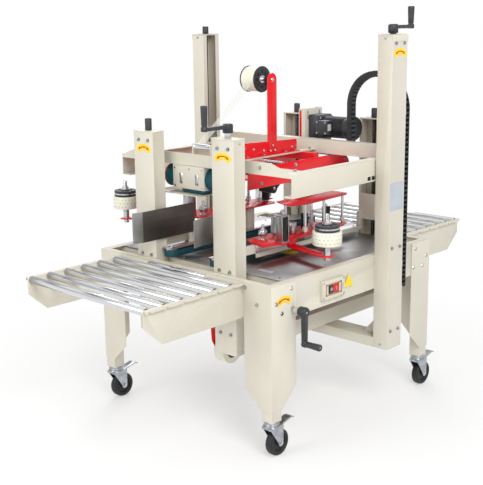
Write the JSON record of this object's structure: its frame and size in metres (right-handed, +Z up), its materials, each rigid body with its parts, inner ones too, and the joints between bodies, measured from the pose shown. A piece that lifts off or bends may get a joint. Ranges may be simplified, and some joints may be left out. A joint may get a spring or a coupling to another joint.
{
  "type": "carton sealer",
  "caption": "Free-standing carton sealer: roller tables, side belt drives and tape heads at top, bottom and sides, set to the carton by hand-cranked screws.",
  "frame": {"origin": "on the floor, under the middle of the machine's overall length and width", "axes": "+X is the way the cartons run, from the infeed table to the outfeed table; +Y runs from the operator's side to the far side; +Z is up"},
  "size_m": [1.9, 1.108, 1.573],
  "materials": {
    "ivory_paint": "satin ivory powder coat",
    "red_paint": "satin red powder coat",
    "teal_belt": "matt, fabric backed",
    "bed_steel": "brushed stainless sheet",
    "roller_chrome": "polished zinc or chrome plate",
    "caster_zinc": "bright zinc plate",
    "screw_and_crank": "blackened steel screw, black plastic crank",
    "wheel": "matt black polyurethane or nylon",
    "tape": "glossy film wound on a core",
    "black_arm": "matt black roller covering",
    "motor_teal": "satin teal enamel",
    "motor_black": "satin black enamel",
    "switch_plate": "ivory plate",
    "switch_rocker": "red",
    "chain": "matt black moulded links"
  },
  "bodies": {
    "machine_frame": {"bed_frame": "ivory_paint", "bed_plate": "bed_steel", "leg_infeed_near": "ivory_paint", "leg_infeed_far": "ivory_paint", "leg_outfeed_near": "ivory_paint", "leg_outfeed_far": "ivory_paint", "infeed_table": "ivory_paint", "outfeed_table": "ivory_paint", "mast_near": "ivory_paint", "mast_far": "ivory_paint", "mast_base": "ivory_paint", "bottom_head": "red_paint", "switch_box": "switch_plate", "cable_chain": "chain"},
    "caster_infeed_near": {"caster_fork_infeed_near": "caster_zinc"},
    "wheel_infeed_near": {"caster_wheel_infeed_near": "wheel"},
    "caster_infeed_far": {"caster_fork_infeed_far": "caster_zinc"},
    "wheel_infeed_far": {"caster_wheel_infeed_far": "wheel"},
    "caster_outfeed_near": {"caster_fork_outfeed_near": "caster_zinc"},
    "wheel_outfeed_near": {"caster_wheel_outfeed_near": "wheel"},
    "caster_outfeed_far": {"caster_fork_outfeed_far": "caster_zinc"},
    "wheel_outfeed_far": {"caster_wheel_outfeed_far": "wheel"},
    "infeed_roller_1": {"infeed_roller_1": "roller_chrome"},
    "infeed_roller_2": {"infeed_roller_2": "roller_chrome"},
    "infeed_roller_3": {"infeed_roller_3": "roller_chrome"},
    "infeed_roller_4": {"infeed_roller_4": "roller_chrome"},
    "infeed_roller_5": {"infeed_roller_5": "roller_chrome"},
    "infeed_roller_6": {"infeed_roller_6": "roller_chrome"},
    "outfeed_roller_1": {"outfeed_roller_1": "roller_chrome"},
    "outfeed_roller_2": {"outfeed_roller_2": "roller_chrome"},
    "outfeed_roller_3": {"outfeed_roller_3": "roller_chrome"},
    "outfeed_roller_4": {"outfeed_roller_4": "roller_chrome"},
    "outfeed_roller_5": {"outfeed_roller_5": "roller_chrome"},
    "outfeed_roller_6": {"outfeed_roller_6": "roller_chrome"},
    "infeed_nose_roller": {"infeed_nose_roller": "roller_chrome"},
    "mast_crank": {"mast_crank": "screw_and_crank"},
    "mast_screw_far": {"mast_screw_far": "screw_and_crank"},
    "top_carriage": {"top_carriage": "ivory_paint", "top_head": "red_paint", "top_reel_arm": "red_paint", "infeed_gear_motor": "motor_teal", "outfeed_gear_motor": "motor_black"},
    "top_press_arm_front": {"top_press_arm_front": "black_arm"},
    "top_press_arm_rear": {"top_press_arm_rear": "black_arm"},
    "top_tape_roll": {"top_tape_roll": "tape"},
    "bottom_tape_roll": {"bottom_tape_roll": "tape"},
    "width_crank": {"width_crank": "screw_and_crank"},
    "side_frame_near": {"side_frame_near": "ivory_paint"},
    "side_frame_far": {"side_frame_far": "ivory_paint"},
    "column_crank_near": {"column_crank_near": "screw_and_crank"},
    "side_unit_near": {"side_drive_near": "ivory_paint", "side_belt_near": "teal_belt", "side_head_near": "red_paint"},
    "side_tape_roll_near": {"side_tape_roll_near": "tape"},
    "column_screw_far": {"column_screw_far": "screw_and_crank"},
    "side_unit_far": {"side_drive_far": "ivory_paint", "side_belt_far": "teal_belt", "side_head_far": "red_paint"},
    "side_tape_roll_far": {"side_tape_roll_far": "tape"},
    "power_rocker": {"power_rocker": "switch_rocker"}
  },
  "joints": [
    {"name": "swivel_infeed_near", "type": "hinge", "parent": "machine_frame", "child": "caster_infeed_near", "pos_m": [-0.468, -0.4, 0.138], "axis": [0, 0, 1], "continuous": true},
    {"name": "wheel_spin_infeed_near", "type": "hinge", "parent": "caster_infeed_near", "child": "wheel_infeed_near", "pos_m": [-0.44, -0.4, 0.05], "axis": [0, 1, 0], "continuous": true},
    {"name": "swivel_infeed_far", "type": "hinge", "parent": "machine_frame", "child": "caster_infeed_far", "pos_m": [-0.468, 0.462, 0.138], "axis": [0, 0, 1], "continuous": true},
    {"name": "wheel_spin_infeed_far", "type": "hinge", "parent": "caster_infeed_far", "child": "wheel_infeed_far", "pos_m": [-0.44, 0.462, 0.05], "axis": [0, 1, 0], "continuous": true},
    {"name": "swivel_outfeed_near", "type": "hinge", "parent": "machine_frame", "child": "caster_outfeed_near", "pos_m": [0.468, -0.4, 0.138], "axis": [0, 0, 1], "continuous": true},
    {"name": "wheel_spin_outfeed_near", "type": "hinge", "parent": "caster_outfeed_near", "child": "wheel_outfeed_near", "pos_m": [0.496, -0.4, 0.05], "axis": [0, 1, 0], "continuous": true},
    {"name": "swivel_outfeed_far", "type": "hinge", "parent": "machine_frame", "child": "caster_outfeed_far", "pos_m": [0.468, 0.462, 0.138], "axis": [0, 0, 1], "continuous": true},
    {"name": "wheel_spin_outfeed_far", "type": "hinge", "parent": "caster_outfeed_far", "child": "wheel_outfeed_far", "pos_m": [0.496, 0.462, 0.05], "axis": [0, 1, 0], "continuous": true},
    {"name": "infeed_roller_1_spin", "type": "hinge", "parent": "machine_frame", "child": "infeed_roller_1", "pos_m": [-0.933, 0.031, 0.625], "axis": [0, 1, 0], "continuous": true},
    {"name": "infeed_roller_2_spin", "type": "hinge", "parent": "machine_frame", "child": "infeed_roller_2", "pos_m": [-0.855, 0.031, 0.625], "axis": [0, 1, 0], "continuous": true},
    {"name": "infeed_roller_3_spin", "type": "hinge", "parent": "machine_frame", "child": "infeed_roller_3", "pos_m": [-0.777, 0.031, 0.625], "axis": [0, 1, 0], "continuous": true},
    {"name": "infeed_roller_4_spin", "type": "hinge", "parent": "machine_frame", "child": "infeed_roller_4", "pos_m": [-0.699, 0.031, 0.625], "axis": [0, 1, 0], "continuous": true},
    {"name": "infeed_roller_5_spin", "type": "hinge", "parent": "machine_frame", "child": "infeed_roller_5", "pos_m": [-0.621, 0.031, 0.625], "axis": [0, 1, 0], "continuous": true},
    {"name": "infeed_roller_6_spin", "type": "hinge", "parent": "machine_frame", "child": "infeed_roller_6", "pos_m": [-0.543, 0.031, 0.625], "axis": [0, 1, 0], "continuous": true},
    {"name": "outfeed_roller_1_spin", "type": "hinge", "parent": "machine_frame", "child": "outfeed_roller_1", "pos_m": [0.933, 0.031, 0.625], "axis": [0, 1, 0], "continuous": true},
    {"name": "outfeed_roller_2_spin", "type": "hinge", "parent": "machine_frame", "child": "outfeed_roller_2", "pos_m": [0.855, 0.031, 0.625], "axis": [0, 1, 0], "continuous": true},
    {"name": "outfeed_roller_3_spin", "type": "hinge", "parent": "machine_frame", "child": "outfeed_roller_3", "pos_m": [0.777, 0.031, 0.625], "axis": [0, 1, 0], "continuous": true},
    {"name": "outfeed_roller_4_spin", "type": "hinge", "parent": "machine_frame", "child": "outfeed_roller_4", "pos_m": [0.699, 0.031, 0.625], "axis": [0, 1, 0], "continuous": true},
    {"name": "outfeed_roller_5_spin", "type": "hinge", "parent": "machine_frame", "child": "outfeed_roller_5", "pos_m": [0.621, 0.031, 0.625], "axis": [0, 1, 0], "continuous": true},
    {"name": "outfeed_roller_6_spin", "type": "hinge", "parent": "machine_frame", "child": "outfeed_roller_6", "pos_m": [0.543, 0.031, 0.625], "axis": [0, 1, 0], "continuous": true},
    {"name": "infeed_nose_roller_spin", "type": "hinge", "parent": "machine_frame", "child": "infeed_nose_roller", "pos_m": [-0.507, 0.031, 0.628], "axis": [0, 1, 0], "continuous": true},
    {"name": "mast_crank_turn", "type": "hinge", "parent": "machine_frame", "child": "mast_crank", "pos_m": [0.1545, -0.457, 1.473], "axis": [0, 0, 1], "range_deg": [-864, 25920]},
    {"name": "mast_screw_far_turn", "type": "hinge", "parent": "machine_frame", "child": "mast_screw_far", "pos_m": [0.1545, 0.519, 1.473], "axis": [0, 0, 1], "range_deg": [-864, 25920]},
    {"name": "carriage_lift", "type": "slide", "parent": "machine_frame", "child": "top_carriage", "axis": [0, 0, 1], "range_m": [-0.012, 0.36], "deforming": ["cable_chain"]},
    {"name": "top_press_arm_front_fold", "type": "hinge", "parent": "top_carriage", "child": "top_press_arm_front", "pos_m": [0.09, 0.031, 0.938], "axis": [0, 1, 0], "range_deg": [0, 30], "stiffness_Nm_per_rad": 3, "springref_deg": -17.19},
    {"name": "top_press_arm_rear_fold", "type": "hinge", "parent": "top_carriage", "child": "top_press_arm_rear", "pos_m": [0.18, 0.031, 0.938], "axis": [0, -1, 0], "range_deg": [0, 30]},
    {"name": "top_tape_roll_spin", "type": "hinge", "parent": "top_carriage", "child": "top_tape_roll", "pos_m": [-0.0415, 0.051, 1.305], "axis": [0, 1, 0], "continuous": true},
    {"name": "bottom_tape_roll_spin", "type": "hinge", "parent": "machine_frame", "child": "bottom_tape_roll", "pos_m": [-0.241, 0.031, 0.25], "axis": [0, 1, 0], "continuous": true},
    {"name": "width_crank_turn", "type": "hinge", "parent": "machine_frame", "child": "width_crank", "pos_m": [-0.385, -0.439, 0.538], "axis": [0, 1, 0], "range_deg": [-2160, 9360]},
    {"name": "side_frame_near_slide", "type": "slide", "parent": "machine_frame", "child": "side_frame_near", "axis": [0, -1, 0], "range_m": [-0.03, 0.13]},
    {"name": "side_frame_far_slide", "type": "slide", "parent": "machine_frame", "child": "side_frame_far", "axis": [0, 1, 0], "range_m": [-0.03, 0.13]},
    {"name": "column_crank_near_turn", "type": "hinge", "parent": "side_frame_near", "child": "column_crank_near", "pos_m": [-0.4385, -0.178, 1.128], "axis": [0, 0, 1], "range_deg": [0, 3960]},
    {"name": "side_unit_near_lift", "type": "slide", "parent": "side_frame_near", "child": "side_unit_near", "axis": [0, 0, 1], "range_m": [0, 0.055]},
    {"name": "side_tape_roll_near_spin", "type": "hinge", "parent": "side_unit_near", "child": "side_tape_roll_near", "pos_m": [-0.175, -0.416, 0.759], "axis": [0, 0, 1], "continuous": true},
    {"name": "column_screw_far_turn", "type": "hinge", "parent": "side_frame_far", "child": "column_screw_far", "pos_m": [-0.4385, 0.24, 1.128], "axis": [0, 0, 1], "range_deg": [0, 1440]},
    {"name": "side_unit_far_lift", "type": "slide", "parent": "side_frame_far", "child": "side_unit_far", "axis": [0, 0, 1], "range_m": [0, 0.02]},
    {"name": "side_tape_roll_far_spin", "type": "hinge", "parent": "side_unit_far", "child": "side_tape_roll_far", "pos_m": [-0.365, 0.478, 0.814], "axis": [0, 0, 1], "continuous": true},
    {"name": "power_rocker_tip", "type": "hinge", "parent": "machine_frame", "child": "power_rocker", "pos_m": [-0.162, -0.4345, 0.569], "axis": [0, 0, 1], "range_deg": [0, 14]}
  ],
  "couplings": [
    {"joint": "mast_screw_far_turn", "follows": "mast_crank_turn", "ratio": 1},
    {"joint": "carriage_lift", "follows": "mast_crank_turn", "m_per_rad": 0.00079577},
    {"joint": "top_press_arm_rear_fold", "follows": "top_press_arm_front_fold", "ratio": 1},
    {"joint": "side_frame_near_slide", "follows": "width_crank_turn", "m_per_rad": 0.00079577},
    {"joint": "side_frame_far_slide", "follows": "width_crank_turn", "m_per_rad": 0.00079577},
    {"joint": "side_unit_near_lift", "follows": "column_crank_near_turn", "m_per_rad": 0.00079577},
    {"joint": "column_screw_far_turn", "follows": "side_unit_far_lift", "rad_per_m": 1256.6}
  ]
}
